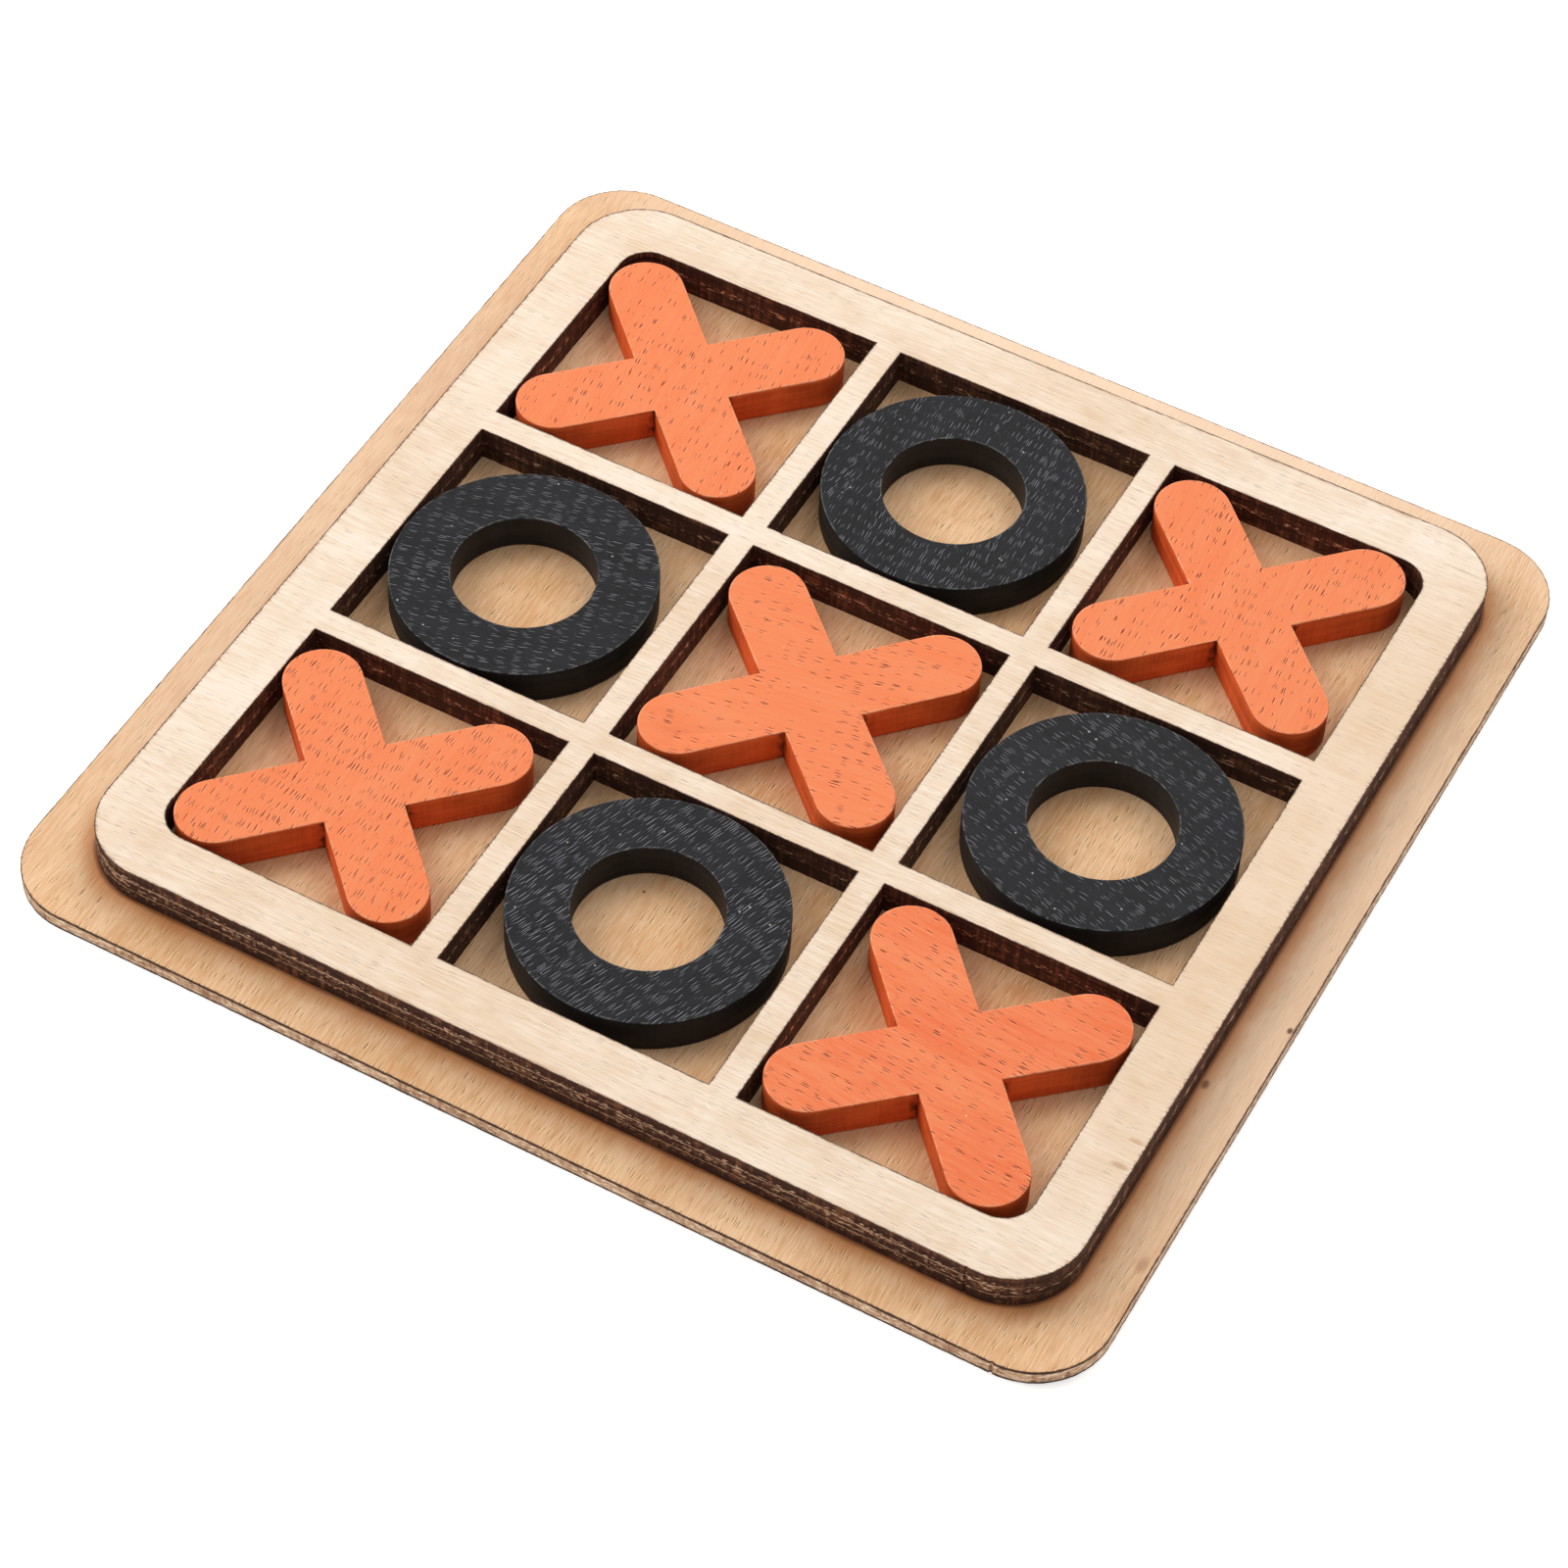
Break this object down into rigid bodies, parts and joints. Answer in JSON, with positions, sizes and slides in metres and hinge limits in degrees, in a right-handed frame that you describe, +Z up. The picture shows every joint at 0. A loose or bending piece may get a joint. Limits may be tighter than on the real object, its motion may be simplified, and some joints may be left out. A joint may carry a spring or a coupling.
{
  "type": "tic tac toe set",
  "caption": "Square stepped plywood tic tac toe board with open cells, holding flat wooden X and O pieces that lift out of it.",
  "frame": {"origin": "centre of the base board's underside, on the surface that the board rests on", "axes": "+X along the front edge from left to right, +Y from the front edge to the back edge, +Z up out of the cells"},
  "size_m": [0.145, 0.145, 0.0072],
  "materials": {
    "base_plywood": "bare rotary-cut birch face veneer, sanded, with laser-charred edges",
    "grid_plywood": "bare pale basswood or birch face veneer, sanded, with laser-charred edges and cell walls",
    "orange_painted_wood": "thin matt orange paint over open-grained wood",
    "black_painted_wood": "thin satin black paint over open-grained wood"
  },
  "bodies": {
    "board": {"base_board": "base_plywood", "grid_frame": "grid_plywood"},
    "x_piece_front_left": {"x_piece_front_left": "orange_painted_wood"},
    "x_piece_front_right": {"x_piece_front_right": "orange_painted_wood"},
    "x_piece_center": {"x_piece_center": "orange_painted_wood"},
    "x_piece_back_left": {"x_piece_back_left": "orange_painted_wood"},
    "x_piece_back_right": {"x_piece_back_right": "orange_painted_wood"},
    "o_piece_front": {"o_piece_front": "black_painted_wood"},
    "o_piece_left": {"o_piece_left": "black_painted_wood"},
    "o_piece_right": {"o_piece_right": "black_painted_wood"},
    "o_piece_back": {"o_piece_back": "black_painted_wood"}
  },
  "joints": [
    {"name": "x_front_left_lift", "type": "slide", "parent": "board", "child": "x_piece_front_left", "axis": [0, 0, 1], "range_m": [0, 0.03]},
    {"name": "x_front_right_lift", "type": "slide", "parent": "board", "child": "x_piece_front_right", "axis": [0, 0, 1], "range_m": [0, 0.03]},
    {"name": "x_center_lift", "type": "slide", "parent": "board", "child": "x_piece_center", "axis": [0, 0, 1], "range_m": [0, 0.03]},
    {"name": "x_back_left_lift", "type": "slide", "parent": "board", "child": "x_piece_back_left", "axis": [0, 0, 1], "range_m": [0, 0.03]},
    {"name": "x_back_right_lift", "type": "slide", "parent": "board", "child": "x_piece_back_right", "axis": [0, 0, 1], "range_m": [0, 0.03]},
    {"name": "o_front_lift", "type": "slide", "parent": "board", "child": "o_piece_front", "axis": [0, 0, 1], "range_m": [0, 0.03]},
    {"name": "o_left_lift", "type": "slide", "parent": "board", "child": "o_piece_left", "axis": [0, 0, 1], "range_m": [0, 0.03]},
    {"name": "o_right_lift", "type": "slide", "parent": "board", "child": "o_piece_right", "axis": [0, 0, 1], "range_m": [0, 0.03]},
    {"name": "o_back_lift", "type": "slide", "parent": "board", "child": "o_piece_back", "axis": [0, 0, 1], "range_m": [0, 0.03]}
  ]
}
